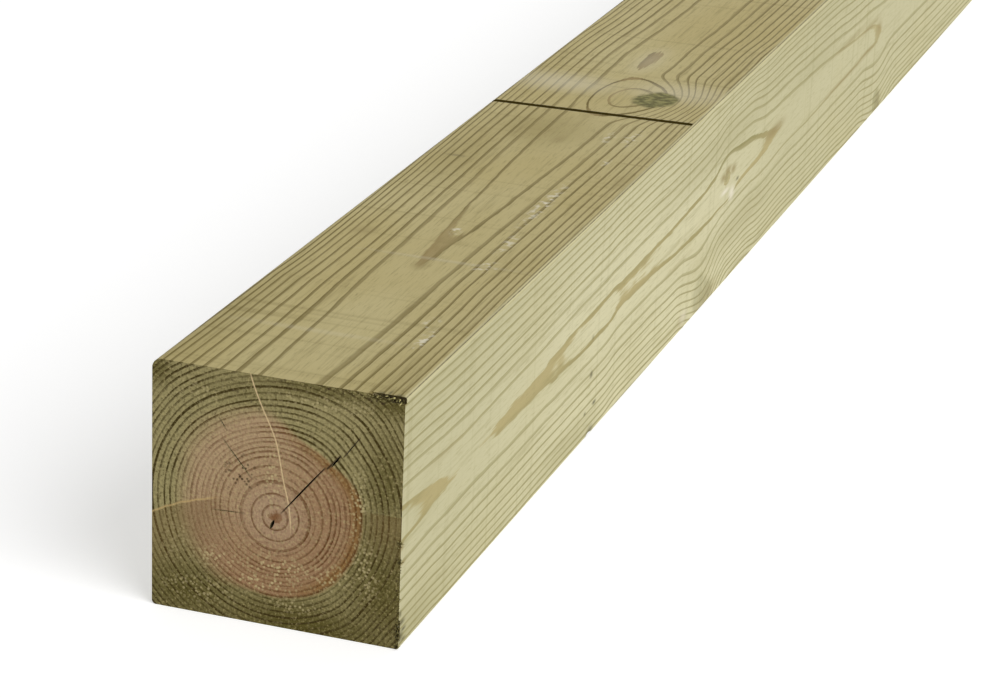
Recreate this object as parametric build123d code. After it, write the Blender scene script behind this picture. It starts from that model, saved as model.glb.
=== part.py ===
from build123d import *
import math
import os
from collections import namedtuple

# Square timber, planed from one softwood stem with the pith inside.
# It lies along Y with its photographed end at -Y, its bottom face on Z = 0
# and the middle of the bottom face at the origin. All sizes are millimetres.
SIDE = 90.0
LENGTH = 1000.0

# The planer left each long edge with its own rounding.
ARRIS_TOP_LEFT = 3.4
ARRIS_TOP_RIGHT = 1.0
ARRIS_BOTTOM_RIGHT = 0.6
ARRIS_BOTTOM_LEFT = 1.6

# Saw kerf across the top face. It runs out over the left edge and stops
# just inside the rounding of the right edge.
KERF_FROM_END = 338.0
KERF_WIDTH = 3.2
KERF_DEPTH = 2.5
KERF_SKEW_DEGREES = 2.0
KERF_STOP = 0.2

# The pith, the centre that rings and checks are laid out from.
PITH_RIGHT = 0.0
PITH_HEIGHT = 40.0

# Drying checks open in the end grain along radii of the stem. Each is a lens
# in the end face that narrows as it goes in. Distances run from the pith and
# bearings are degrees from +X towards +Z.
Check = namedtuple("Check", "inner inner_bearing outer outer_bearing width depth")
CHECKS = (
    # the open split of the pith itself
    Check(0.8, 252.0, 4.9, 248.0, 1.2, 9.0),
    # the long check to the upper right, in three steps
    Check(3.6, 45.0, 27.5, 50.3, 0.6, 14.0),
    Check(28.6, 47.5, 34.9, 48.7, 0.7, 9.0),
    Check(35.2, 46.9, 45.0, 48.7, 0.35, 5.0),
    # the check to the upper left, in two steps
    Check(15.2, 124.2, 31.1, 127.4, 0.4, 8.0),
    Check(34.0, 122.0, 37.8, 122.4, 0.35, 4.0),
    # the short level hairline on the left
    Check(11.7, 182.2, 22.5, 182.4, 0.3, 4.0),
)
CHECK_NARROWING = 0.35

# Fibres torn out along two edges of the end. Each outline gives the distance
# from the corner and the depth in from the edge, and RUN is its reach inwards.
TEAR_OVERRUN = 1.0
TOP_TEAR = ((-TEAR_OVERRUN, 2.3), (3.0, 1.9), (4.6, 2.2), (6.2, 1.2), (8.6, 1.4), (10.2, 0.5), (12.6, 0.0))
TOP_TEAR_RUN = 1.6
SIDE_TEAR = ((2.6, 0.0), (3.4, 0.6), (4.6, 1.4), (5.6, 0.5), (6.8, 1.1), (8.0, 0.3), (9.2, 0.5), (10.4, 0.0))
SIDE_TEAR_RUN = 1.3

# Bruise on the bottom right edge, a shallow round scoop.
NICK_FROM_END = 209.0
NICK_LENGTH = 9.0
NICK_DEPTH = 0.9

NEAR_END = Plane(origin=(0, -LENGTH / 2, 0), x_dir=(1, 0, 0), z_dir=(0, -1, 0))


def section():
    """The end outline, a square with four different roundings."""
    outline = Pos(0, SIDE / 2) * Rectangle(SIDE, SIDE)
    roundings = (
        (-SIDE / 2, SIDE, ARRIS_TOP_LEFT),
        (SIDE / 2, SIDE, ARRIS_TOP_RIGHT),
        (SIDE / 2, 0, ARRIS_BOTTOM_RIGHT),
        (-SIDE / 2, 0, ARRIS_BOTTOM_LEFT),
    )
    for x, z, radius in roundings:
        corner = outline.vertices().sort_by_distance((x, z, 0))[0]
        outline = fillet(corner, radius)
    return outline


def kerf():
    """The slot that the saw left, square at its closed end."""
    closed_at = (SIDE - ARRIS_TOP_RIGHT - KERF_STOP) / math.cos(math.radians(KERF_SKEW_DEGREES))
    overrun = KERF_WIDTH
    mouth = Plane(origin=(-SIDE / 2, -LENGTH / 2 + KERF_FROM_END, SIDE)).rotated((0, 0, KERF_SKEW_DEGREES))
    slot = Box(closed_at + overrun, KERF_WIDTH, 2 * KERF_DEPTH, align=(Align.MAX, Align.CENTER, Align.CENTER))
    return mouth * Pos(closed_at, 0, 0) * slot


def about_pith(distance, bearing):
    """The point of the end face at this distance and bearing from the pith."""
    angle = math.radians(bearing)
    return Vector(PITH_RIGHT + distance * math.cos(angle), PITH_HEIGHT + distance * math.sin(angle))


def lens(start, end, width):
    """A face between two points, bounded by two shallow arcs."""
    middle = (start + end) / 2
    along = (end - start).normalized()
    across = Vector(-along.Y, along.X) * (width / 2)
    upper = ThreePointArc(start, middle + across, end)
    lower = ThreePointArc(end, middle - across, start)
    return make_face([upper, lower])


def drying_check(check):
    """A split that is widest at the end face and closes as it goes in."""
    start = about_pith(check.inner, check.inner_bearing)
    end = about_pith(check.outer, check.outer_bearing)
    middle = (start + end) / 2
    mouth = lens(start, end, check.width)
    shrunk_start = middle + (start - middle) * CHECK_NARROWING
    shrunk_end = middle + (end - middle) * CHECK_NARROWING
    root = Pos(0, 0, -check.depth) * lens(shrunk_start, shrunk_end, check.width * CHECK_NARROWING)
    return NEAR_END * loft([mouth, root])


def torn_edge(outline, corner, along, inward, run):
    """A ragged strip broken away along an edge of the end face, from a corner."""
    first, last = outline[0][0], outline[-1][0]
    outside = ((last, -TEAR_OVERRUN), (first, -TEAR_OVERRUN))
    points = [corner + along * distance + inward * depth for distance, depth in outline + outside]
    return NEAR_END * extrude(make_face(Polyline(*points, close=True)), amount=-run)


def nick():
    """The scoop that a knock left in the bottom right edge."""
    ball_radius = NICK_LENGTH**2 / (8 * NICK_DEPTH) + NICK_DEPTH / 2
    diagonal = (ball_radius - NICK_DEPTH) / math.sqrt(2)
    return Pos(SIDE / 2 + diagonal, -LENGTH / 2 + NICK_FROM_END, -diagonal) * Sphere(ball_radius)


def square_timber():
    """The whole piece."""
    timber = NEAR_END * extrude(section(), amount=-LENGTH)
    timber -= kerf()
    for check in CHECKS:
        timber -= drying_check(check)
    top_right = Vector(SIDE / 2, SIDE)
    bottom_right = Vector(SIDE / 2, 0)
    timber -= torn_edge(TOP_TEAR, top_right, Vector(-1, 0), Vector(0, -1), TOP_TEAR_RUN)
    timber -= torn_edge(SIDE_TEAR, bottom_right, Vector(0, 1), Vector(-1, 0), SIDE_TEAR_RUN)
    timber -= nick()
    return timber


os.makedirs("parts", exist_ok=True)
export_step(square_timber(), "parts/square_timber.step")
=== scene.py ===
import math
import random
from collections import namedtuple

import bpy
from mathutils import Matrix, Vector


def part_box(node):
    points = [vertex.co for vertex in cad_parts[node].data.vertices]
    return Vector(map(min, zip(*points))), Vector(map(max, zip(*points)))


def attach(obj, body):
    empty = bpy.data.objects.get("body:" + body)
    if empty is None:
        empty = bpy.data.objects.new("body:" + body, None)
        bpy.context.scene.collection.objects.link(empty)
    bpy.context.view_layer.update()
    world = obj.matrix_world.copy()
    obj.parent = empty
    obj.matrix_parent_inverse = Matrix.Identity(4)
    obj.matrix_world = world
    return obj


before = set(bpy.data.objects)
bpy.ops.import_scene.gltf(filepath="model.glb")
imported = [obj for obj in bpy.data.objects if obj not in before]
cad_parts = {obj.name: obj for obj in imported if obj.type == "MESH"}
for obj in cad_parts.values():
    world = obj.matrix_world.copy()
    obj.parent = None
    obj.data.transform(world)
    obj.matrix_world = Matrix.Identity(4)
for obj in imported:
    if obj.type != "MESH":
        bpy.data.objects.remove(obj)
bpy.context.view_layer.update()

# The frame is in metres. Every place on the wood is given in sides: a share of
# the section's width, across from its middle, along from the near end and up
# from its bottom face.
TIMBER = "square_timber"
timber_low, timber_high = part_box(TIMBER)
SIDE = timber_high[0] - timber_low[0]
NEAR_END = timber_low[1]
LENGTH_IN_SIDES = (timber_high[1] - timber_low[1]) / SIDE

# The pith at the near end, and the saw kerf across the top face.
PITH_ACROSS = 0.0
PITH_UP = 0.0400 / SIDE
KERF_ALONG = 0.3380 / SIDE
KERF_WIDTH = 0.0032 / SIDE
KERF_SKEW = math.tan(math.radians(2.0))

Spot = namedtuple("Spot", "across along up")


def place(across, along, up):
    """A point on the wood, given in sides, as a point of the frame."""
    return Vector((across * SIDE, NEAR_END + along * SIDE, up * SIDE))


def srgb(red, green, blue):
    """A colour written as 0 to 255 values, as the linear colour that shaders take."""
    values = [channel / 255 for channel in (red, green, blue)]
    linear = [v / 12.92 if v <= 0.04045 else ((v + 0.055) / 1.055) ** 2.4 for v in values]
    return (*linear, 1.0)


# Camera: it looks down along the timber from its right, rolled a little.
CAMERA_AZIMUTH = math.radians(18.331)
CAMERA_ELEVATION = math.radians(20.607)
CAMERA_ROLL = math.radians(2.368)
CAMERA_PLACE = (4.2890, -10.3791, 5.3602)
CAMERA_LENS = 118.63
CAMERA_SENSOR = 36.0
CAMERA_NEAREST = 0.01
CAMERA_FARTHEST = 50.0


def make_camera():
    flat = math.cos(CAMERA_ELEVATION)
    back = Vector((
        math.sin(CAMERA_AZIMUTH) * flat,
        -math.cos(CAMERA_AZIMUTH) * flat,
        math.sin(CAMERA_ELEVATION),
    ))
    right = Vector((math.cos(CAMERA_AZIMUTH), math.sin(CAMERA_AZIMUTH), 0.0))
    up = back.cross(right)
    across = right * math.cos(CAMERA_ROLL) + up * math.sin(CAMERA_ROLL)
    over_head = up * math.cos(CAMERA_ROLL) - right * math.sin(CAMERA_ROLL)
    turn = Matrix((across, over_head, back)).transposed()
    data = bpy.data.cameras.new("camera")
    data.lens = CAMERA_LENS
    data.sensor_width = CAMERA_SENSOR
    data.clip_start = CAMERA_NEAREST
    data.clip_end = CAMERA_FARTHEST
    camera = bpy.data.objects.new("camera", data)
    camera.matrix_world = Matrix.Translation(place(*CAMERA_PLACE)) @ turn.to_4x4()
    bpy.context.collection.objects.link(camera)
    bpy.context.scene.camera = camera


# Material arithmetic: a Field is a number that varies over the wood, and each
# sum, product or function of fields adds one node to the material.
class Field:
    tree = None

    def __init__(self, socket):
        self.socket = socket

    def __add__(self, other):
        return calculate("ADD", self, other)

    def __radd__(self, other):
        return calculate("ADD", other, self)

    def __sub__(self, other):
        return calculate("SUBTRACT", self, other)

    def __rsub__(self, other):
        return calculate("SUBTRACT", other, self)

    def __mul__(self, other):
        return calculate("MULTIPLY", self, other)

    def __rmul__(self, other):
        return calculate("MULTIPLY", other, self)

    def __truediv__(self, other):
        return calculate("DIVIDE", self, other)


def feed(plug, value):
    """Puts a field, or a constant, into a node's input."""
    if isinstance(value, Field):
        Field.tree.links.new(value.socket, plug)
    else:
        plug.default_value = value


def calculate(operation, *values):
    node = Field.tree.nodes.new("ShaderNodeMath")
    node.operation = operation
    for plug, value in zip(node.inputs, values):
        feed(plug, value)
    return Field(node.outputs[0])


def hypotenuse(a, b):
    return calculate("SQRT", a * a + b * b)


def magnitude(value):
    return calculate("ABSOLUTE", value)


def smaller(a, b):
    return calculate("MINIMUM", a, b)


def larger(a, b):
    return calculate("MAXIMUM", a, b)


def ramp(value, start, end, low=0.0, high=1.0):
    """Goes smoothly from low at start to high at end, and stays there."""
    node = Field.tree.nodes.new("ShaderNodeMapRange")
    node.interpolation_type = "SMOOTHSTEP"
    for plug, number in zip(node.inputs, (value, start, end, low, high)):
        feed(plug, number)
    return Field(node.outputs[0])


def bell(value, centre, width):
    """A smooth hump, 1 at its centre."""
    reach = (value - centre) / width
    return calculate("EXPONENT", reach * reach * -1.0)


def inside(value, low, high, edge):
    """1 between low and high, 0 outside, with soft edges."""
    return ramp(value, low - edge, low + edge) * ramp(value, high + edge, high - edge)


def between(share, first, second):
    """The first field at share 0, the second at share 1."""
    return first + (second - first) * share


def curve(value, points):
    """A smooth curve through (input, output) points."""
    inputs = [point[0] for point in points]
    outputs = [point[1] for point in points]
    start, span = inputs[0], inputs[-1] - inputs[0]
    low, rise = min(outputs), max(outputs) - min(outputs)
    node = Field.tree.nodes.new("ShaderNodeFloatCurve")
    line = node.mapping.curves[0]
    while len(line.points) < len(points):
        line.points.new(0.5, 0.5)
    for handle, (x, y) in zip(line.points, points):
        handle.location = ((x - start) / span, (y - low) / rise)
        handle.handle_type = "AUTO_CLAMPED"
    node.mapping.update()
    feed(node.inputs["Value"], (value - start) / span)
    return Field(node.outputs[0]) * rise + low


def combine(x, y, z):
    node = Field.tree.nodes.new("ShaderNodeCombineXYZ")
    for plug, value in zip(node.inputs, (x, y, z)):
        feed(plug, value)
    return Field(node.outputs[0])


def parts_of(socket):
    """The three parts of a place or a direction, as fields."""
    node = Field.tree.nodes.new("ShaderNodeSeparateXYZ")
    Field.tree.links.new(socket, node.inputs[0])
    return [Field(part) for part in node.outputs]


def vector_step(operation, *values):
    """A sum, product, projection, dot product or length of vectors."""
    node = Field.tree.nodes.new("ShaderNodeVectorMath")
    node.operation = operation
    for plug, value in zip(node.inputs, values):
        feed(plug, value)
    return Field(node.outputs["Value" if operation in ("LENGTH", "DOT_PRODUCT") else "Vector"])


def noise(point, detail=2.0, roughness=0.5):
    """Smooth random values about 0, from about -0.5 to 0.5, one lump per unit."""
    node = Field.tree.nodes.new("ShaderNodeTexNoise")
    feed(node.inputs["Vector"], point)
    node.inputs["Scale"].default_value = 1.0
    node.inputs["Detail"].default_value = detail
    node.inputs["Roughness"].default_value = roughness
    return Field(node.outputs[0]) - 0.5


def cells(point):
    """Distance to the nearest of scattered points, about one to a unit."""
    node = Field.tree.nodes.new("ShaderNodeTexVoronoi")
    feed(node.inputs["Vector"], point)
    node.inputs["Scale"].default_value = 1.0
    return Field(node.outputs["Distance"])


def chance(value):
    """A random number from 0 to 1 for each value."""
    node = Field.tree.nodes.new("ShaderNodeTexWhiteNoise")
    node.noise_dimensions = "1D"
    feed(node.inputs["W"], value)
    return Field(node.outputs["Value"])


def stretched(spot, lumps, shift=0.0):
    """The spot with so many units to a side across, along and up, shifted upwards."""
    across, along, up = (value * count for value, count in zip(spot, lumps))
    if shift:
        up = up + shift
    return combine(across, along, up)


def tint(share, first, second):
    """A colour between two colours."""
    node = Field.tree.nodes.new("ShaderNodeMix")
    node.data_type = "RGBA"
    feed(node.inputs[0], share)
    feed(node.inputs[6], first)
    feed(node.inputs[7], second)
    return Field(node.outputs[2])


def over(share, base, colour):
    """A colour laid over another where its share is above 0."""
    return tint(smaller(larger(share, 0.0), 1.0), base, colour)


def largest(fields):
    """The greatest of several fields at each spot, made one by one."""
    total = None
    for field in fields:
        total = field if total is None else larger(total, field)
    return total


def new_material(name):
    """An empty material, and the tree that fields are now added to."""
    material = bpy.data.materials.new(name)
    material.use_nodes = True
    material.node_tree.nodes.clear()
    Field.tree = material.node_tree
    return material


def show(shader):
    """Makes a shader the material's surface."""
    output = Field.tree.nodes.new("ShaderNodeOutputMaterial")
    Field.tree.links.new(shader.outputs[0], output.inputs["Surface"])


# The stem that the timber was cut from. Distances from the ring centre to the
# right face and to the top face change along the stem, and where they pass a
# ring's radius that ring comes to a point on the face.
RING_CENTRE_UP = 0.467
RIGHT_FACE_DISTANCE = (
    (0.0, 0.4985), (0.13, 0.5000), (0.35, 0.5030), (0.60, 0.5050), (0.72, 0.5056), (0.85, 0.5050),
    (1.30, 0.5030), (1.62, 0.5023), (1.80, 0.5006), (2.50, 0.4986), (2.76, 0.5011), (3.10, 0.5003),
    (3.50, 0.4986), (4.00, 0.4960), (4.40, 0.4935), (4.80, 0.4960), (5.00, 0.4985), (5.20, 0.5015),
    (5.57, 0.5050), (6.00, 0.5062), (6.60, 0.5107), (7.10, 0.5157), (7.50, 0.5185), (7.80, 0.5235),
    (8.40, 0.5270), (9.50, 0.5240), (11.2, 0.5200),
)
RIGHT_CENTRE_UP = (
    (0.0, 0.500), (0.30, 0.498), (0.60, 0.490), (1.30, 0.493), (1.80, 0.500), (2.50, 0.505),
    (2.80, 0.518), (3.20, 0.516), (3.60, 0.508), (4.00, 0.510), (4.40, 0.550), (4.80, 0.560),
    (5.20, 0.535), (5.57, 0.540), (6.00, 0.530), (6.60, 0.525), (7.10, 0.510), (7.80, 0.505),
    (11.2, 0.490),
)
TOP_FACE_DISTANCE = (
    (0.0, 0.5330), (0.70, 0.5285), (1.33, 0.5235), (1.90, 0.5197), (2.20, 0.5172), (2.50, 0.5154),
    (3.00, 0.5112), (3.50, 0.5080), (4.00, 0.5065), (4.55, 0.5050), (4.77, 0.5035), (5.00, 0.5050),
    (5.50, 0.5065), (6.40, 0.5080), (8.00, 0.5120), (11.2, 0.5200),
)
TOP_CENTRE_ACROSS = (
    (0.0, 0.060), (0.60, 0.055), (1.33, 0.035), (2.00, 0.025), (3.00, 0.018), (4.00, 0.005),
    (4.80, -0.010), (5.50, 0.010), (6.40, 0.015), (11.2, 0.0),
)
TOP_LEFT_FLATNESS = ((0.0, 0.85), (1.0, 0.91), (2.0, 0.98), (3.3, 0.96), (11.2, 0.95))
TOP_RIGHT_FLATNESS = 0.98
LEFT_FACE_DISTANCE = (
    (0.0, 0.5000), (1.20, 0.5040), (2.40, 0.5120), (3.60, 0.5180), (4.60, 0.5090), (6.00, 0.5030),
    (7.40, 0.4960), (8.60, 0.5010), (9.80, 0.5080), (11.2, 0.5060),
)
LEFT_CENTRE_UP = ((0.0, 0.467), (2.5, 0.45), (5.0, 0.49), (7.5, 0.44), (11.2, 0.47))
BOTTOM_FACE_DISTANCE = (
    (0.0, 0.4670), (1.50, 0.4620), (3.00, 0.4560), (4.50, 0.4600), (6.00, 0.4520), (7.50, 0.4480),
    (9.00, 0.4545), (11.2, 0.4500),
)

# Where each face's own ring centre takes over from the stem's, where the four
# quarters of the rings meet, and how far out the rings stay plain circles.
NEAR_RIGHT = (0.15, 0.45)
NEAR_TOP = (0.62, 0.95)
LEFT_TO_RIGHT = (-0.06, 0.06)
TOP_LEFT_TO_RIGHT = (-0.05, 0.05)
BOTTOM_TO_TOP = (-0.06, 0.06)
SIDEWAYS_TO_UPRIGHT = (0.34, 0.66)
ROUND_RINGS_END = (0.08, 0.28)
SMALLEST_SQUARE = 1e-6

# Radius of each year's ring, from the pith outwards.
RING_RADII = (
    0.0, 0.055, 0.099, 0.145, 0.163, 0.193, 0.226, 0.246, 0.262, 0.285, 0.300, 0.325, 0.345, 0.361,
    0.385, 0.406, 0.430, 0.453, 0.480, 0.505, 0.5235, 0.546, 0.567, 0.587, 0.613, 0.6356, 0.656,
    0.676, 0.693, 0.710, 0.727, 0.744, 0.761, 0.778, 0.795, 0.812,
)

# How far the rings wander from true: slowly, quickly, and from fibre to fibre.
DRIFT = 0.0020
WAVER = 0.0024
FRAY = 0.0028

# How many lumps of each random pattern lie in a side, across, along and up, and
# how far some are shifted so that two patterns don't coincide.
DRIFT_LUMPS = (1.3, 0.9, 1.3)
WAVER_LUMPS = (4.0, 4.5, 4.0)
WAVER_SHIFT = 7.0
FRAY_LUMPS = (70.0, 4.0, 70.0)
KNOT_RIM_LUMPS = (12.0, 9.0, 12.0)
BLOTCH_LUMPS = (2.0, 0.8, 2.0)
STREAK_LUMPS = (55.0, 1.6, 55.0)
FIBRE_LUMPS = (120.0, 9.0, 120.0)
PLANING_LUMPS = (0.6, 16.0, 0.6)
MOTTLE_LUMPS = (30.0, 30.0, 30.0)
HEART_EDGE_LUMPS = 5.0
GRIT_LUMPS = (85.0, 40.0, 85.0)
FAINTNESS_LUMPS = (7.0, 2.0, 7.0)
FAINTNESS_SHIFT = 3.0
FLECK_LUMPS = (66.0, 20.0, 66.0)
PIT_LUMPS = (55.0, 20.0, 55.0)
PIT_SHIFT = 31.0
STEP_LUMPS = 30.0
KERF_RIM_LUMPS = (40.0, 8.0, 8.0)
SPLINTER_LUMPS = 90.0

# Branches: where each leaves the pith along the stem, its run to the face, the
# radius of its knot, how dark it is, and how far and how strongly it pushes
# the rings outwards.
Branch = namedtuple("Branch", "along run knot dark reach push")
BRANCHES = (
    Branch(3.90, (0.215, 0.20, 0.555), knot=0.098, dark=1.0, reach=0.19, push=0.066),
    Branch(3.64, (0.50, 0.48, -0.42), knot=0.120, dark=0.28, reach=0.17, push=0.050),
    Branch(4.35, (0.50, 0.10, 0.11), knot=0.020, dark=0.3, reach=0.10, push=0.016),
    Branch(7.62, (0.50, 0.18, -0.40), knot=0.070, dark=0.40, reach=0.20, push=0.034),
    Branch(7.66, (-0.40, 0.20, 0.50), knot=0.080, dark=0.8, reach=0.20, push=0.060),
    Branch(4.02, (-0.50, 0.20, -0.05), knot=0.080, dark=0.8, reach=0.20, push=0.060),
    Branch(10.1, (0.10, 0.20, 0.55), knot=0.070, dark=0.8, reach=0.20, push=0.060),
)
BRANCH_STRETCH = 0.75
KNOT_ROUGHNESS = 0.06
KNOT_OUTSIDE = 1.15
KNOT_INSIDE = 0.80
PUSH_OUTSIDE = 1.9

# Shares of a branch's run over which its knot and its push set in.
KNOT_SETS_IN = (0.3, 0.5)
PUSH_SETS_IN = (0.05, 0.6)

Wood = namedtuple("Wood", "radius from_pith knot year inwards")


def stem_radius(across, along, up):
    """Distance from the stem's centre as the rings measure it, and from the pith."""
    from_pith_across = across - PITH_ACROSS
    from_pith_up = up - PITH_UP
    from_pith = hypotenuse(from_pith_across, from_pith_up)
    near_right = ramp(across, *NEAR_RIGHT)
    near_top = ramp(up, *NEAR_TOP)
    right_centre = between(near_right, RING_CENTRE_UP, curve(along, RIGHT_CENTRE_UP))
    to_right = hypotenuse(across - 0.5 + curve(along, RIGHT_FACE_DISTANCE), up - right_centre)
    off_left = across + 0.5 - curve(along, LEFT_FACE_DISTANCE)
    to_left = hypotenuse(off_left, up - curve(along, LEFT_CENTRE_UP))
    off_top = across - curve(along, TOP_CENTRE_ACROSS) * near_top
    left_to_right = ramp(off_top, *TOP_LEFT_TO_RIGHT)
    flat = between(left_to_right, curve(along, TOP_LEFT_FLATNESS), TOP_RIGHT_FLATNESS)
    flattened = off_top * between(near_top, 1.0, flat)
    to_top = hypotenuse(flattened, up - 1.0 + curve(along, TOP_FACE_DISTANCE))
    to_bottom = hypotenuse(across, up - curve(along, BOTTOM_FACE_DISTANCE))
    sideways = between(ramp(from_pith_across, *LEFT_TO_RIGHT), to_left, to_right)
    upright = between(ramp(from_pith_up, *BOTTOM_TO_TOP), to_bottom, to_top)
    steepness = from_pith_up * from_pith_up / (from_pith * from_pith + SMALLEST_SQUARE)
    outer = between(ramp(steepness, *SIDEWAYS_TO_UPRIGHT), sideways, upright)
    return between(ramp(from_pith, *ROUND_RINGS_END), from_pith, outer), from_pith


def branch_fields(point, branch):
    """(distance from the branch's own centre line, how far out along it)."""
    run = Vector(branch.run)
    share_along = run / run.length_squared
    out = vector_step("SUBTRACT", point, (PITH_ACROSS, branch.along, PITH_UP))
    outwards = vector_step("DOT_PRODUCT", out, share_along)
    on_branch = vector_step("PROJECT", out, run)
    beside = vector_step("SUBTRACT", out, on_branch)
    off = vector_step("MULTIPLY", beside, (1.0, BRANCH_STRETCH, 1.0))
    return vector_step("LENGTH", off), outwards


def wood_fields(spot):
    """Everything about rings and knots that colour and relief are made from."""
    drift = noise(stretched(spot, DRIFT_LUMPS), detail=1.0) * DRIFT
    waver = noise(stretched(spot, WAVER_LUMPS, WAVER_SHIFT)) * WAVER
    fray = noise(stretched(spot, FRAY_LUMPS), roughness=0.6) * FRAY
    radius, from_pith = stem_radius(*spot)
    rough_rim = noise(stretched(spot, KNOT_RIM_LUMPS), detail=3.0) * KNOT_ROUGHNESS
    point = combine(*spot)
    knot = None
    for branch in BRANCHES:
        away, outwards = branch_fields(point, branch)
        pushed = ramp(away, branch.reach * PUSH_OUTSIDE, 0.0) * ramp(outwards, *PUSH_SETS_IN)
        radius = radius - pushed * branch.push
        disc = ramp(away + rough_rim, branch.knot * KNOT_OUTSIDE, branch.knot * KNOT_INSIDE)
        shown = disc * ramp(outwards, *KNOT_SETS_IN)
        shown = shown * branch.dark
        knot = shown if knot is None else larger(knot, shown)
    ringed = radius + drift + waver
    count = curve(ringed, [(ring_radius, year) for year, ring_radius in enumerate(RING_RADII)])
    width = curve(ringed, [(inner, outer - inner) for inner, outer in zip(RING_RADII, RING_RADII[1:])])
    year = calculate("FLOOR", count)
    inwards = (1.0 - calculate("FRACT", count)) * width + fray
    return Wood(ringed, from_pith, knot, year, inwards)


# Late wood, measured inwards from a ring's outer edge, and how weak the
# weakest year's is on planed faces and on the ends.
LATE_WIDTH = 0.0054
LATE_BODY = 0.0038
LATE_CORE = 0.0030
LATE_EDGE = 0.0009
LATE_BODY_SHARE = 0.75
LATE_WEAKEST_PLANED = 0.65
LATE_WEAKEST_END = 0.55

# How broad late wood is: where a face runs along a ring, where it leaves the
# ring, where it crosses the rings, and on the ends.
GRAZING_LATE_BREADTH = 0.72
LEAVING_LATE_BREADTH = 0.52
SIDE_LATE_BREADTH = 1.20
TOP_LATE_BREADTH = 1.28
END_LATE_BREADTH = 1.8

# Distance from the middle of a face over which it leaves a ring, and over
# which it comes to cross the rings.
RIGHT_MIDDLE_UP = 0.51
TOP_MIDDLE_ACROSS = 0.01
LEAVES_RING = (0.020, 0.065)
CROSSES_RINGS = (0.05, 0.15)


def late_wood(wood, breadth, on_end):
    """How dark the late wood is: sharp on its outer side, fading inwards."""
    inner = wood.inwards / breadth
    body = ramp(inner, LATE_WIDTH, LATE_BODY) * LATE_BODY_SHARE
    core = ramp(inner, LATE_CORE, LATE_EDGE) * (1.0 - LATE_BODY_SHARE)
    edge = ramp(wood.inwards, 0.0, LATE_EDGE)
    weakest = between(on_end, LATE_WEAKEST_PLANED, LATE_WEAKEST_END)
    strength = between(chance(wood.year + 0.5), weakest, 1.0)
    return (body + core) * edge * strength


SPOT_SOFTNESS = 1.8


def soft_patch(point, first_at, second_at, first_reach, second_reach, strength):
    scale = (1.0 / first_reach, 1.0 / second_reach, 0.0)
    shift = (-first_at / first_reach, -second_at / second_reach, 0.0)
    off = vector_step("MULTIPLY_ADD", point, scale, shift)
    return ramp(vector_step("LENGTH", off), SPOT_SOFTNESS, 0.0, 0.0, strength)


def spots(first, second, places):
    """Soft patches: (centre, centre, half width, half width, strength) each."""
    point = combine(first, second, 0.0)
    return largest(soft_patch(point, *row) for row in places)


# Patches of colour on the planed faces, as (along, up or across, half length,
# half width, strength).
RIGHT_BROWN = (
    (4.38, 0.574, 0.050, 0.022, 1.0), (4.46, 0.592, 0.055, 0.018, 1.0), (4.56, 0.570, 0.045, 0.022, 1.0),
    (4.17, 0.04, 0.16, 0.050, 0.50), (3.60, 0.37, 0.22, 0.008, 0.40), (7.83, 0.05, 0.07, 0.050, 0.55),
    (5.36, 0.548, 0.17, 0.030, 1.0), (3.75, 0.05, 0.07, 0.030, 0.50), (0.42, 0.62, 0.16, 0.020, 0.25),
    (0.02, 0.345, 0.030, 0.008, 1.0), (0.01, 0.410, 0.020, 0.012, 1.0), (7.00, 0.618, 0.35, 0.014, 0.6),
    (7.50, 0.580, 0.20, 0.016, 0.7), (6.90, 0.425, 0.45, 0.013, 0.7), (7.45, 0.438, 0.22, 0.015, 0.7),
    (7.72, 0.510, 0.07, 0.045, 0.7),
)
RIGHT_SPECKS = (
    (2.32, 0.28, 0.020, 0.014, 0.8), (2.38, 0.13, 0.022, 0.009, 0.9), (2.25, 0.12, 0.014, 0.007, 0.8),
    (2.33, 0.0, 0.045, 0.030, 0.9), (2.32, 0.45, 0.015, 0.012, 0.4), (4.65, 0.495, 0.025, 0.008, 0.8),
    (0.030, 0.10, 0.030, 0.010, 0.9), (0.050, 0.065, 0.025, 0.007, 0.9),
    (0.015, 0.045, 0.030, 0.020, 0.9), (0.050, 0.025, 0.025, 0.006, 0.8),
    (0.012, 0.14, 0.014, 0.012, 0.8),
)
RIGHT_PALE = (
    (4.55, 0.450, 0.045, 0.032, 1.0), (4.42, 0.492, 0.07, 0.012, 1.0), (3.78, 0.06, 0.05, 0.030, 0.5),
)
RIGHT_SHADED = (
    (0.15, 0.06, 0.30, 0.09, 0.55), (2.0, 0.06, 0.40, 0.07, 0.5), (4.3, 0.75, 0.90, 0.10, 0.45),
    (4.7, 0.25, 0.65, 0.08, 0.4), (0.25, 0.50, 0.12, 0.07, 0.4), (6.2, 0.70, 0.50, 0.08, 0.35),
)
TOP_BROWN = (
    (1.71, -0.33, 0.06, 0.050, 0.60), (2.82, 0.45, 0.10, 0.035, 0.50), (3.30, 0.0, 0.07, 0.030, 0.50),
    (3.72, 0.0, 0.06, 0.025, 0.45), (1.40, 0.035, 0.055, 0.030, 0.85), (3.07, 0.42, 0.008, 0.070, 0.70),
    (1.72, 0.05, 0.030, 0.070, 0.45),
)
TOP_SPECKS = (
    (2.86, -0.34, 0.014, 0.040, 0.45), (0.015, 0.40, 0.018, 0.012, 0.8),
    (0.035, 0.43, 0.025, 0.006, 0.8), (0.015, 0.47, 0.018, 0.016, 0.9),
)
TOP_PALE = (
    (4.20, -0.28, 0.14, 0.24, 0.38), (0.52, -0.05, 0.020, 0.30, 0.14), (1.49, 0.10, 0.015, 0.28, 0.18),
    (4.26, 0.28, 0.14, 0.24, 0.28), (4.76, -0.010, 0.20, 0.060, 0.22),
)
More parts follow.
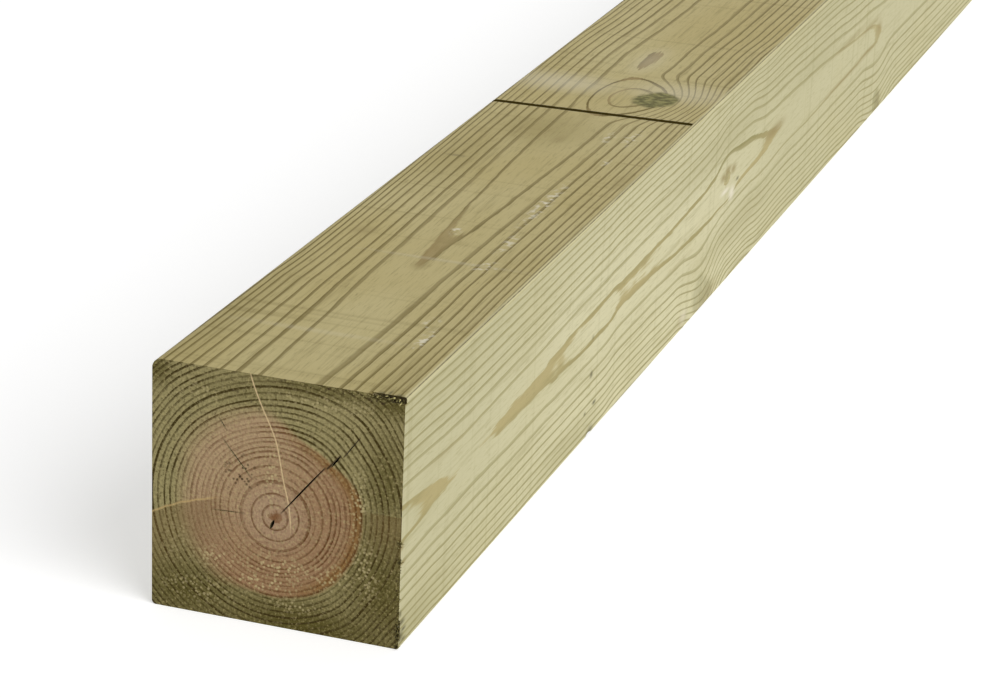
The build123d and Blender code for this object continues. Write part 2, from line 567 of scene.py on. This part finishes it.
TOP_SHADED = (
    (3.42, -0.12, 0.26, 0.22, 0.60), (2.90, -0.32, 0.50, 0.14, 0.40), (0.50, -0.43, 0.70, 0.09, 0.40),
    (0.15, 0.42, 0.35, 0.08, 0.30),
)
TOP_CHALKY = (
    (1.49, 0.28, 0.050, 0.045, 1.0), (1.87, 0.02, 0.050, 0.020, 1.0), (0.60, 0.35, 0.10, 0.020, 0.9),
    (2.35, 0.24, 0.25, 0.025, 0.9), (0.78, 0.31, 0.05, 0.025, 0.8), (3.05, 0.30, 0.05, 0.015, 0.8),
    (1.80, 0.27, 0.12, 0.020, 0.7), (3.42, 0.20, 0.08, 0.020, 0.8), (3.45, 0.30, 0.10, 0.030, 0.6),
)

# Patches of the near end, as (across, up, half width, half height, strength): where fibres stand torn
# and pale, where small pits are painted dark as shade, where it is darker.
END_TORN = (
    (-0.05, 0.17, 0.14, 0.035, 1.0), (0.02, 0.24, 0.16, 0.050, 0.8), (0.22, 0.24, 0.10, 0.060, 0.7),
    (0.33, 0.55, 0.035, 0.14, 0.8), (-0.24, 0.24, 0.10, 0.040, 0.8), (-0.30, 0.10, 0.14, 0.050, 0.6),
    (-0.01, 0.60, 0.035, 0.16, 0.7), (0.10, 0.10, 0.12, 0.030, 0.6), (-0.40, 0.30, 0.06, 0.10, 0.5),
    (0.36, 0.30, 0.06, 0.12, 0.7), (0.20, 0.93, 0.20, 0.030, 0.6), (-0.30, 0.90, 0.12, 0.040, 0.5),
    (0.0, 0.5, 0.50, 0.50, 0.22),
)
END_PITTED = (
    (-0.14, 0.60, 0.07, 0.080, 1.0), (-0.16, 0.94, 0.05, 0.030, 0.8), (0.40, 0.97, 0.10, 0.020, 1.0),
    (-0.05, 0.88, 0.10, 0.030, 0.7), (0.43, 0.05, 0.06, 0.050, 0.7), (0.0, 0.5, 0.50, 0.50, 0.25),
    (0.20, 0.990, 0.26, 0.012, 1.0), (0.490, 0.18, 0.014, 0.20, 1.0), (-0.30, 0.992, 0.16, 0.006, 0.7),
)
END_SHADED = (
    (-0.36, 0.08, 0.26, 0.15, 0.9), (0.12, 0.02, 0.46, 0.12, 1.0), (0.44, 0.22, 0.18, 0.28, 0.9),
    (0.44, 0.66, 0.09, 0.18, 0.8), (0.46, 0.97, 0.12, 0.06, 0.9), (-0.48, 0.96, 0.06, 0.06, 0.8),
    (0.20, 0.98, 0.30, 0.04, 0.7), (-0.14, 0.93, 0.20, 0.06, 0.35),
)

# The hair-thin ends of the drying checks, drawn as lines of painted shade, as (start across, start up,
# end across, end up, width, how dark).
END_HAIRLINES = (
    (0.022, 0.464, 0.200, 0.683, 0.0028, 1.0), (0.200, 0.672, 0.256, 0.736, 0.0042, 1.0),
    (0.264, 0.728, 0.332, 0.822, 0.0026, 0.8), (-0.092, 0.580, -0.216, 0.728, 0.0030, 0.55),
    (-0.196, 0.758, -0.232, 0.810, 0.0030, 0.50), (-0.125, 0.439, -0.255, 0.434, 0.0024, 0.35),
)
HAIRLINE_SOFTNESS = 1.8
HAIRLINE_START = 0.02
HAIRLINE_END = 0.98
HAIRLINE_TAPER = 0.05


def hairline(point, start_across, start_up, end_across, end_up, width, strength):
    run = Vector((end_across - start_across, end_up - start_up, 0.0))
    square_to_run = Vector((run.y, -run.x, 0.0)).normalized()
    out = vector_step("SUBTRACT", point, (start_across, start_up, 0.0))
    share = vector_step("DOT_PRODUCT", out, run / run.length_squared)
    off = magnitude(vector_step("DOT_PRODUCT", out, square_to_run))
    line = ramp(off, width * HAIRLINE_SOFTNESS, 0.0, 0.0, strength)
    return line * inside(share, HAIRLINE_START, HAIRLINE_END, HAIRLINE_TAPER)


def hairlines(across, up):
    """Painted shade in the hair-thin checks: dark lines on the near end, pointed at both ends."""
    point = combine(across, up, 0.0)
    return largest(hairline(point, *row) for row in END_HAIRLINES)


# The pale line scored down the near end, as (up, across), and the step that
# the saw left on its left side, as (across, up).
SCORE_LINE = (
    (0.38, 0.063), (0.42, 0.062), (0.49, 0.055), (0.60, 0.030), (0.745, 0.0), (0.80, -0.022),
    (0.88, -0.060), (0.98, -0.100), (1.0, -0.106),
)
SCORE_WIDTH = 0.0026
SCORE_FOOT = 0.41
SCORE_FADE = 0.03
STEP_LINE = ((-0.5, 0.378), (-0.40, 0.428), (-0.30, 0.462), (-0.20, 0.490), (-0.1, 0.515))
STEP_WOBBLE = 0.014
STEP_LIFT = 0.003
STEP_WIDTH = 0.0040

# Where the step's bright edge and the shade below it fade to the right, how
# sharply and how deep that shade goes, and the shaded band on the right.
STEP_FADES = (-0.20, -0.30)
SHADE_FADES = (-0.16, -0.30)
SHADE_TOP = (0.0, -0.004)
SHADE_BOTTOM = (-0.32, -0.05)
BAND_TOP = (0.532, 0.528)
BAND_BOTTOM = (0.30, 0.50)
BAND_FADES = (0.30, 0.42)


def end_marks(across, up):
    """Saw and handling marks on the near end, each from 0 to 1."""
    score_across = curve(up, SCORE_LINE)
    score = bell(across, score_across, SCORE_WIDTH) * inside(up, SCORE_FOOT, 1.0, SCORE_FADE)
    step_up = curve(across, STEP_LINE)
    step_up = step_up + noise(combine(across * STEP_LUMPS, 0.0, 0.0)) * STEP_WOBBLE
    step = bell(up, step_up + STEP_LIFT, STEP_WIDTH) * ramp(across, *STEP_FADES)
    below_step = ramp(up - step_up, *SHADE_TOP) * ramp(up - step_up, *SHADE_BOTTOM)
    below_step = below_step * ramp(across, *SHADE_FADES)
    right_band = ramp(up, *BAND_TOP) * ramp(up, *BAND_BOTTOM) * ramp(across, *BAND_FADES)
    return score, step, larger(below_step, right_band)


# Colours of the planed faces: early wood, the lines of late wood, marks, and a painted highlight.
SIDE_EARLY = srgb(193, 187, 148)
SIDE_EARLY_MIDDLE = srgb(207, 201, 163)
SIDE_EARLY_HIGH = srgb(170, 163, 118)
SIDE_EARLY_BLOTCH = srgb(192, 184, 141)
SIDE_EARLY_SHADED = srgb(166, 159, 116)
TOP_EARLY = srgb(194, 181, 130)
TOP_EARLY_BLOTCH = srgb(185, 170, 115)
TOP_EARLY_SHADED = srgb(146, 131, 74)
SIDE_LINE = srgb(142, 134, 82)
TOP_LINE = srgb(104, 89, 30)
SIDE_SPREAD_LINE = srgb(174, 160, 110)
TOP_SPREAD_LINE = srgb(148, 128, 78)
BROWN = srgb(146, 130, 80)
PALE = srgb(224, 217, 194)
# A painted highlight for the rounded top right edge.
ARRIS_PAINTED_HIGHLIGHT = srgb(202, 194, 150)
SPECK = srgb(84, 78, 44)
KNOT_DARK = srgb(84, 80, 32)
KNOT_PALE = srgb(142, 136, 80)

# Colours of the end grain.
SAPWOOD = srgb(160, 149, 102)
SAPWOOD_SHADED = srgb(92, 84, 35)
HEARTWOOD = srgb(164, 130, 95)
HEARTWOOD_PALE = srgb(184, 156, 120)
HEART_RIM = srgb(138, 102, 50)
HEART_PINK = srgb(190, 162, 134)
SAPWOOD_RING = srgb(62, 50, 8)
HEARTWOOD_RING = srgb(94, 56, 20)
END_STRAW = srgb(192, 176, 120)
END_FLECK = srgb(214, 198, 146)
# Painted shade in small pits of the end.
END_PIT_PAINTED_SHADE = srgb(60, 45, 24)
END_SHADE = srgb(110, 84, 44)
SCORED = srgb(226, 200, 152)
STEPPED = srgb(198, 168, 112)
PITH = srgb(124, 82, 46)
# Painted shade along the hair-thin checks.
HAIRLINE_PAINTED_SHADE = srgb(54, 38, 18)

# Painted shade: dark colours laid in the hollows of the wood and on the kerf's walls.
HOLLOW_PAINTED_SHADE = srgb(40, 30, 14)
KERF_PAINTED_SHADE = srgb(74, 62, 12)

# A face belongs to the top, the right or an end when its direction passes these.
FACES_TOP_OR_RIGHT = (0.45, 0.80)
FACES_END = (0.5, 0.7)

# The right face is palest between these places along the timber, and greener
# towards its upper edge.
PALE_FROM = 1.4
PALE_TO = 4.8
PALE_FADE = 1.0
HIGH_ON_SIDE = (0.62, 1.0)

# How strongly the lines of late wood are laid on.
GRAZING_LINE_STRENGTH = 1.40
SIDE_LINE_STRENGTH = 1.08
TOP_LINE_STRENGTH = 1.12
SIDE_LINE_LEAVING_SHARE = 0.45
SIDE_LINE_CROSSING_SHARE = 0.55

# Random values over which each pattern shows, and how strongly at most.
SIDE_BLOTCH = (-0.05, 0.25, 0.0, 0.5)
TOP_BLOTCH = (-0.2, 0.2)
STREAKS = (0.0, 0.30, 0.0, 0.45)
FIBRES = (0.0, 0.28, 0.0, 0.48)
PLANING_MARKS = (0.05, 0.30, 0.0, 0.28)
CHALK_GRAINS = (-0.02, 0.14)
KNOT_MOTTLE = (-0.15, 0.2)
HIGH_ON_SIDE_STRENGTH = 0.30
BROWN_STRENGTH = 0.8

# A painted highlight: the pale line along the top right edge, where its rounding catches the light.
ARRIS_HIGHLIGHT_ACROSS = (0.483, 0.491)
ARRIS_HIGHLIGHT_UP = (0.978, 0.986)
ARRIS_HIGHLIGHT_STRENGTH = 0.7


def planed_faces(spot, wood, late, on_top, on_right, crossing, leaving):
    """Colour of the planed faces, and the patterns that later steps share."""
    blotch = noise(stretched(spot, BLOTCH_LUMPS))
    streak = noise(stretched(spot, STREAK_LUMPS), detail=3.0, roughness=0.6)
    fibre = noise(stretched(spot, FIBRE_LUMPS), detail=3.0, roughness=0.7)
    planing = noise(stretched(spot, PLANING_LUMPS), roughness=0.6)
    middle = inside(spot.along, PALE_FROM, PALE_TO, PALE_FADE)
    side_early = tint(middle, SIDE_EARLY, SIDE_EARLY_MIDDLE)
    high = ramp(spot.up, *HIGH_ON_SIDE, 0.0, HIGH_ON_SIDE_STRENGTH)
    side_early = over(high, side_early, SIDE_EARLY_HIGH)
    side_early = over(ramp(blotch, *SIDE_BLOTCH), side_early, SIDE_EARLY_BLOTCH)
    side_early = over(spots(spot.along, spot.up, RIGHT_SHADED), side_early, SIDE_EARLY_SHADED)
    top_early = tint(ramp(blotch, *TOP_BLOTCH), TOP_EARLY, TOP_EARLY_BLOTCH)
    top_early = over(spots(spot.along, spot.across, TOP_SHADED), top_early, TOP_EARLY_SHADED)
    early = tint(on_top, side_early, top_early)

    # late wood, and the fine marks that share its colour
    line = tint(on_top, SIDE_LINE, TOP_LINE)
    spread = tint(on_top, SIDE_SPREAD_LINE, TOP_SPREAD_LINE)
    side_share = leaving * SIDE_LINE_LEAVING_SHARE + crossing * SIDE_LINE_CROSSING_SHARE
    line_share = between(on_top, side_share, leaving)
    line_strength = between(on_top, SIDE_LINE_STRENGTH, TOP_LINE_STRENGTH)
    drawn = late * between(crossing, GRAZING_LINE_STRENGTH, line_strength)
    planed = over(drawn, early, tint(line_share, spread, line))
    planed = over(ramp(streak, *STREAKS), planed, line)
    planed = over(ramp(fibre, *FIBRES), planed, line)
    planed = over(ramp(planing, *PLANING_MARKS), planed, line)
    mottle = noise(stretched(spot, MOTTLE_LUMPS), detail=3.0)

    def patches(right_places, top_places):
        right = spots(spot.along, spot.up, right_places) * on_right
        return larger(right, spots(spot.along, spot.across, top_places) * on_top)

    brown = patches(RIGHT_BROWN, TOP_BROWN)
    pale = patches(RIGHT_PALE, TOP_PALE)
    chalky = spots(spot.along, spot.across, TOP_CHALKY) * on_top * ramp(mottle, *CHALK_GRAINS)
    specks = patches(RIGHT_SPECKS, TOP_SPECKS)
    planed = over(brown * BROWN_STRENGTH, planed, BROWN)
    planed = over(larger(pale, chalky), planed, PALE)
    # painted highlight along the rounded top right edge
    arris_highlight = ramp(spot.across, *ARRIS_HIGHLIGHT_ACROSS) * ramp(spot.up, *ARRIS_HIGHLIGHT_UP)
    planed = over(arris_highlight * ARRIS_HIGHLIGHT_STRENGTH, planed, ARRIS_PAINTED_HIGHLIGHT)
    planed = over(specks, planed, SPECK)
    knot_colour = tint(ramp(mottle, *KNOT_MOTTLE), KNOT_DARK, KNOT_PALE)
    planed = over(wood.knot, planed, knot_colour)
    return planed, mottle, streak, fibre


# The heart's radius, and how much it grows or shrinks by place; how softly it
# ends, and how ragged its edge is.
HEART_RADIUS = 0.345
HEART_UPPER_LEFT = 0.055
HEART_LEFT = 0.030
HEART_UPPER_RIGHT = 0.052
HEART_SOFT = 0.010
HEART_SOFT_UPPER_LEFT = 0.030
HEART_SOFT_LEFT = 0.045
HEART_RAGGED = 0.015
HEART_RAGGED_SOFT = 0.8
HEART_RIM_INSET = 0.018
HEART_RIM_WIDTH = 0.028
HEART_RIM_STRENGTH = 0.8
HEART_RIM_ACROSS = (-0.05, 0.25)

# Places on the end, as ramps across or up.
UPPER_LEFT_UP = (0.50, 0.90)
UPPER_LEFT_ACROSS = (0.18, -0.10)
UPPER_RIGHT_UP = (0.55, 0.80)
UPPER_RIGHT_ACROSS = (-0.06, 0.14)
LEFTWARDS = (-0.05, -0.35)
TOWARDS_UPPER_LEFT = (0.25, 0.95)

# Rings on the end: how they fade in patches and by place.
FAINTNESS = (-0.25, 0.25, 0.55, 1.2)
SAPWOOD_RING_STRENGTH = 1.35
HEARTWOOD_RING_STRENGTH = (-0.25, 0.10, 0.60, 0.95)

# The pinkish wood about the pith, and the small ragged star of the pith itself.
PINK_REACH = (0.20, 0.04)
PINK_STRENGTH = 0.45
PITH_REACH = (0.027, 0.015)
PITH_MOTTLE = 0.060
PITH_GRIT = 0.030
PITH_STRENGTH = 0.80

# Grit, flecks, the painted shade of pits, and marks on the end, and the part near the end they keep to.
DARK_GRIT = (0.0, 0.20, 0.0, 1.0)
DARK_GRIT_SAPWOOD = 0.60
DARK_GRIT_HEARTWOOD = 0.38
PALE_GRIT = (-0.03, -0.22, 0.0, 0.55)
FLECK_SIZE = (0.48, 0.22)
FLECK_STRENGTH = 0.85
PIT_SIZE = (0.38, 0.20)
PIT_STRENGTH = 0.9
NEAR_THE_END = (1.0, 0.5)
END_SHADE_STRENGTH = 0.38
STEP_STRENGTH = 0.8


def end_grain(spot, wood, late, mottle):
    """Colour of the ends, and the grit that the relief shares."""
    across, along, up = spot
    ragged = noise(combine(across * HEART_EDGE_LUMPS, along, up * HEART_EDGE_LUMPS))
    upper_left = ramp(up, *UPPER_LEFT_UP) * ramp(across, *UPPER_LEFT_ACROSS)
    upper_right = ramp(up, *UPPER_RIGHT_UP) * ramp(across, *UPPER_RIGHT_ACROSS)
    leftwards = ramp(across, *LEFTWARDS)
    heart_at = HEART_RADIUS + upper_left * HEART_UPPER_LEFT + leftwards * HEART_LEFT
    heart_at = heart_at - upper_right * HEART_UPPER_RIGHT
    heart_soft = HEART_SOFT + upper_left * HEART_SOFT_UPPER_LEFT + leftwards * HEART_SOFT_LEFT
    heart_place = wood.radius + ragged * (HEART_RAGGED + heart_soft * HEART_RAGGED_SOFT)
    heart = ramp(heart_place, heart_at + heart_soft, heart_at - heart_soft)
    rim = bell(heart_place, heart_at - HEART_RIM_INSET, HEART_RIM_WIDTH)
    rim = rim * ramp(across, *HEART_RIM_ACROSS)
    grit = noise(stretched(spot, GRIT_LUMPS), roughness=0.7)
    faintness = noise(stretched(spot, FAINTNESS_LUMPS, FAINTNESS_SHIFT), detail=1.0)
    patchy = ramp(faintness, *FAINTNESS)
    sap = over(spots(across, up, END_SHADED), SAPWOOD, SAPWOOD_SHADED)
    core = tint(ramp(up - across, *TOWARDS_UPPER_LEFT), HEARTWOOD, HEARTWOOD_PALE)
    core = over(rim * HEART_RIM_STRENGTH, core, HEART_RIM)
    pinkish = ramp(wood.from_pith, *PINK_REACH)
    core = over(pinkish * PINK_STRENGTH, core, HEART_PINK)
    grain = over(heart, sap, core)
    grain_dark = tint(heart, SAPWOOD_RING, HEARTWOOD_RING)
    heart_strength = ramp(across, *HEARTWOOD_RING_STRENGTH)
    ring_strength = between(heart, SAPWOOD_RING_STRENGTH, heart_strength)
    end = over(late * ring_strength * patchy, grain, grain_dark)

    # roughness of the sawn end, with painted shade in its small pits
    dark_grit = ramp(grit, *DARK_GRIT) * between(heart, DARK_GRIT_SAPWOOD, DARK_GRIT_HEARTWOOD)
    end = over(dark_grit, end, grain_dark)
    end = over(ramp(grit, *PALE_GRIT), end, END_STRAW)
    fleck = ramp(cells(stretched(spot, FLECK_LUMPS)), *FLECK_SIZE)
    pit = ramp(cells(stretched(spot, PIT_LUMPS, PIT_SHIFT)), *PIT_SIZE)
    near = ramp(along, *NEAR_THE_END)
    end = over(fleck * spots(across, up, END_TORN) * near * FLECK_STRENGTH, end, END_FLECK)
    end = over(pit * spots(across, up, END_PITTED) * near * PIT_STRENGTH, end, END_PIT_PAINTED_SHADE)

    # marks of the near end, and painted shade along its hair-thin checks
    score, step, shade = end_marks(across, up)
    end = over(shade * near * END_SHADE_STRENGTH, end, END_SHADE)
    end = over(score * near, end, SCORED)
    end = over(step * near * STEP_STRENGTH, end, STEPPED)
    star = ramp(wood.from_pith + mottle * PITH_MOTTLE + grit * PITH_GRIT, *PITH_REACH)
    end = over(star * (PITH_STRENGTH + mottle), end, PITH)
    end = over(hairlines(across, up) * near, end, HAIRLINE_PAINTED_SHADE)
    return end, grit


# How far below the outer faces the wood must lie to count as a hollow, which is darkened with painted
# shade. The rounding of the top left edge lies as deep and is none.
HOLLOW_DEPTH = (0.0008, 0.0035)
HOLLOW_SHADE_STRENGTH = 0.80
ROUNDED_ARRIS_ACROSS = (-0.450, -0.460)
ROUNDED_ARRIS_UP = (0.950, 0.960)

# The kerf's walls, darkened with painted shade: half its width, its frayed rim, its depth and its end.
KERF_HALF_WIDTH = (0.60, 0.50)
KERF_FRAY = 0.010
KERF_UP = (0.94, 0.96)
KERF_STOPS = (0.4870, 0.4850)


def hollows(spot):
    """Where the wood lies below the outer faces, and where the kerf and its rim are."""
    across, along, up = spot
    inset = smaller(smaller(0.5 - magnitude(across), along), smaller(up, 1.0 - up))
    inset = smaller(inset, LENGTH_IN_SIDES - along)
    on_arris = ramp(across, *ROUNDED_ARRIS_ACROSS) * ramp(up, *ROUNDED_ARRIS_UP)
    hollow = ramp(inset, *HOLLOW_DEPTH) * (1.0 - on_arris)
    kerf_line = KERF_ALONG + (across + 0.5) * KERF_SKEW
    kerf_rim = noise(stretched(spot, KERF_RIM_LUMPS)) * KERF_FRAY
    outside, within = (KERF_WIDTH * share for share in KERF_HALF_WIDTH)
    in_kerf = ramp(magnitude(along - kerf_line) + kerf_rim, outside, within)
    in_kerf = in_kerf * ramp(up, *KERF_UP) * ramp(across, *KERF_STOPS)
    return hollow, in_kerf


# Relief and gloss of the wood.
STREAK_HEIGHT = 0.4
FIBRE_HEIGHT = 0.4
GRIT_HEIGHT = 2.4
RELIEF_STRENGTH = 0.40
RELIEF_DEPTH = 0.0004
PLANED_ROUGHNESS = 0.62
END_ROUGHNESS_ADDED = 0.25
SPECULAR = 0.2


def wood_material():
    material = new_material("treated_pine")
    tree = material.node_tree
    coordinates = tree.nodes.new("ShaderNodeTexCoord")
    x, y, z = parts_of(coordinates.outputs["Object"])
    facing_right, facing_along, facing_up = parts_of(coordinates.outputs["Normal"])
    spot = Spot(x / SIDE, (y - NEAR_END) / SIDE, z / SIDE)
    on_end = ramp(magnitude(facing_along), *FACES_END)
    on_top = ramp(facing_up, *FACES_TOP_OR_RIGHT)
    wood = wood_fields(spot)

    # where a face runs along a ring its late wood spreads out, paler
    off_right_middle = magnitude(spot.up - RIGHT_MIDDLE_UP)
    slope = between(on_top, off_right_middle, magnitude(spot.across - TOP_MIDDLE_ACROSS))
    crossing = ramp(slope, *CROSSES_RINGS)
    leaving = ramp(slope, *LEAVES_RING)
    grazing_breadth = between(leaving, GRAZING_LATE_BREADTH, LEAVING_LATE_BREADTH)
    crossing_breadth = between(on_top, SIDE_LATE_BREADTH, TOP_LATE_BREADTH)
    face_breadth = between(crossing, grazing_breadth, crossing_breadth)
    late = late_wood(wood, between(on_end, face_breadth, END_LATE_BREADTH), on_end)

    on_right = ramp(facing_right, *FACES_TOP_OR_RIGHT)
    planed, mottle, streak, fibre = planed_faces(spot, wood, late, on_top, on_right, crossing, leaving)
    end, grit = end_grain(spot, wood, late, mottle)
    hollow, in_kerf = hollows(spot)
    colour = tint(on_end, planed, end)
    # painted shade wherever the wood lies below the outer faces
    colour = over(hollow * (HOLLOW_SHADE_STRENGTH + mottle), colour, HOLLOW_PAINTED_SHADE)
    # painted shade on the walls of the saw kerf
    colour = over(in_kerf, colour, KERF_PAINTED_SHADE)

    height = streak * STREAK_HEIGHT + fibre * FIBRE_HEIGHT + grit * on_end * GRIT_HEIGHT
    bump = tree.nodes.new("ShaderNodeBump")
    bump.inputs["Strength"].default_value = RELIEF_STRENGTH
    bump.inputs["Distance"].default_value = RELIEF_DEPTH
    feed(bump.inputs["Height"], height)
    shader = tree.nodes.new("ShaderNodeBsdfPrincipled")
    feed(shader.inputs["Base Color"], colour)
    feed(shader.inputs["Roughness"], PLANED_ROUGHNESS + on_end * END_ROUGHNESS_ADDED)
    shader.inputs["Specular IOR Level"].default_value = SPECULAR
    tree.links.new(bump.outputs["Normal"], shader.inputs["Normal"])
    show(shader)
    return material


# Torn fibres stand out from two edges of the near end. Each row gives where
# along its edge it starts and ends, how many there are, and their greatest length.
FIBRE_SEED = 7
TOP_FIBRES = ((0.36, 0.495, 60, 0.026), (0.10, 0.36, 46, 0.015), (-0.10, 0.10, 20, 0.010))
SIDE_FIBRES = (
    (0.0, 0.13, 70, 0.026), (0.13, 0.34, 60, 0.016), (0.34, 0.48, 24, 0.012), (0.345, 0.365, 9, 0.034),
    (0.41, 0.435, 10, 0.036),
)
FIBRE_THICKNESS = 0.0036
FIBRE_ROOT_DEPTH = 0.004

# Least and greatest: how far below the face a fibre is rooted, its length as a
# share of the row's greatest, and its lean to the right, outwards and upwards.
TOP_FIBRE_ROOTS = (0.003, 0.018)
SIDE_FIBRE_ROOTS = (0.003, 0.014)
FIBRE_LENGTHS = (0.35, 1.0)
TOP_FIBRE_LEANS = ((-0.7, 0.7), (0.5, 1.0), (-0.5, 0.35))
SIDE_FIBRE_LEANS = ((0.2, 1.0), (0.3, 1.0), (0.0, 0.6))
LOWEST_SIDE_FIBRE = 0.006

FIBRE_DARK = srgb(70, 62, 24)
FIBRE_PALE = srgb(190, 180, 120)
FIBRE_SHADES = (-0.04, 0.18)
FIBRE_ROUGHNESS = 0.8


def add_sliver(vertices, faces, root, tip):
    """A thin three-sided splinter from its root to its tip, both in sides."""
    lean = (tip - root).normalized()
    first = lean.orthogonal().normalized()
    second = lean.cross(first)
    base = len(vertices)
    for turn in range(3):
        angle = math.tau * turn / 3
        off = (first * math.cos(angle) + second * math.sin(angle)) * FIBRE_THICKNESS
        vertices.append(place(*(root + off)))
    vertices.append(place(*tip))
    for turn in range(3):
        faces.append((base + turn, base + (turn + 1) % 3, base + 3))
    faces.append((base + 2, base + 1, base))


def fibre_tip(chooser, root, longest, leans):
    """Where a fibre ends: its length is drawn first, then its lean."""
    length = longest * chooser.uniform(*FIBRE_LENGTHS)
    rightwards, outwards, upwards = (chooser.uniform(*limits) for limits in leans)
    return root + Vector((rightwards, -outwards, upwards)).normalized() * length


def make_torn_fibres(material):
    chooser = random.Random(FIBRE_SEED)
    vertices, faces = [], []
    for first, last, count, longest in TOP_FIBRES:
        for _ in range(count):
            across = chooser.uniform(first, last)
            root = Vector((across, FIBRE_ROOT_DEPTH, 1.0 - chooser.uniform(*TOP_FIBRE_ROOTS)))
            add_sliver(vertices, faces, root, fibre_tip(chooser, root, longest, TOP_FIBRE_LEANS))
    for first, last, count, longest in SIDE_FIBRES:
        for _ in range(count):
            up = max(chooser.uniform(first, last), LOWEST_SIDE_FIBRE)
            root = Vector((0.5 - chooser.uniform(*SIDE_FIBRE_ROOTS), FIBRE_ROOT_DEPTH, up))
            add_sliver(vertices, faces, root, fibre_tip(chooser, root, longest, SIDE_FIBRE_LEANS))
    mesh = bpy.data.meshes.new("torn_fibres")
    mesh.from_pydata(vertices, [], faces)
    mesh.materials.append(material)
    fibres = bpy.data.objects.new("torn_fibres", mesh)
    bpy.context.collection.objects.link(fibres)
    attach(fibres, "root")


def fibre_material():
    """Broken fibres, from dark and wet-looking to pale straw."""
    material = new_material("torn_fibre")
    tree = material.node_tree
    coordinates = tree.nodes.new("ShaderNodeTexCoord")
    x, _, z = parts_of(coordinates.outputs["Object"])
    across = x / SIDE
    up = z / SIDE
    shade = noise(combine(across * SPLINTER_LUMPS, 0.0, up * SPLINTER_LUMPS), detail=1.0)
    shader = tree.nodes.new("ShaderNodeBsdfPrincipled")
    feed(shader.inputs["Base Color"], tint(ramp(shade, *FIBRE_SHADES), FIBRE_DARK, FIBRE_PALE))
    shader.inputs["Roughness"].default_value = FIBRE_ROUGHNESS
    shader.inputs["Specular IOR Level"].default_value = SPECULAR
    show(shader)
    return material


# Light: a wide soft lamp from the right and above, a pale surround, and a floor
# that looks lighter to the camera than it lights the timber.
KEY_DIRECTION = Vector((0.74, -0.36, 0.57))
KEY_STRENGTH = 2.2
KEY_SPREAD = math.radians(50.0)
SURROUND = 0.38
SURROUND_COLOUR = (1.0, 1.0, 1.0, 1.0)
FLOOR_REACH = 12.0
FLOOR_COLOUR = (0.8, 0.8, 0.8, 1.0)
FLOOR_LIFT = 0.45


def seen_by_camera():
    """1 for what is seen straight or in a reflection, 0 for what only lights."""
    path = Field.tree.nodes.new("ShaderNodeLightPath")
    return larger(Field(path.outputs["Is Camera Ray"]), Field(path.outputs["Is Glossy Ray"]))


def make_floor():
    """A wide white floor that goes past every view and keeps the shadow."""
    corners = [
        (-FLOOR_REACH, -FLOOR_REACH, 0.0),
        (FLOOR_REACH, -FLOOR_REACH, 0.0),
        (FLOOR_REACH, FLOOR_REACH, 0.0),
        (-FLOOR_REACH, FLOOR_REACH, 0.0),
    ]
    mesh = bpy.data.meshes.new("floor")
    mesh.from_pydata(corners, [], [(0, 1, 2, 3)])
    floor = bpy.data.objects.new("floor", mesh)
    bpy.context.collection.objects.link(floor)
    material = new_material("floor")
    tree = material.node_tree
    diffuse = tree.nodes.new("ShaderNodeBsdfDiffuse")
    diffuse.inputs["Color"].default_value = FLOOR_COLOUR
    glow = tree.nodes.new("ShaderNodeEmission")
    feed(glow.inputs["Strength"], seen_by_camera() * FLOOR_LIFT)
    both = tree.nodes.new("ShaderNodeAddShader")
    tree.links.new(diffuse.outputs[0], both.inputs[0])
    tree.links.new(glow.outputs[0], both.inputs[1])
    show(both)
    mesh.materials.append(material)


def make_light():
    lamp = bpy.data.lights.new("key", "SUN")
    lamp.energy = KEY_STRENGTH
    lamp.angle = KEY_SPREAD
    key = bpy.data.objects.new("key", lamp)
    key.rotation_euler = KEY_DIRECTION.to_track_quat("Z", "Y").to_euler()
    bpy.context.collection.objects.link(key)
    world = bpy.data.worlds.new("surround")
    bpy.context.scene.world = world
    world.use_nodes = True
    tree = world.node_tree
    tree.nodes.clear()
    Field.tree = tree
    seen = seen_by_camera()
    glow = tree.nodes.new("ShaderNodeBackground")
    glow.inputs["Color"].default_value = SURROUND_COLOUR
    feed(glow.inputs["Strength"], SURROUND + seen * (1.0 - SURROUND))
    output = tree.nodes.new("ShaderNodeOutputWorld")
    tree.links.new(glow.outputs[0], output.inputs["Surface"])


make_camera()
make_light()
make_floor()

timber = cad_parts[TIMBER]
timber.data.materials.clear()
timber.data.materials.append(wood_material())
make_torn_fibres(fibre_material())

bpy.context.scene.view_settings.view_transform = "Standard"
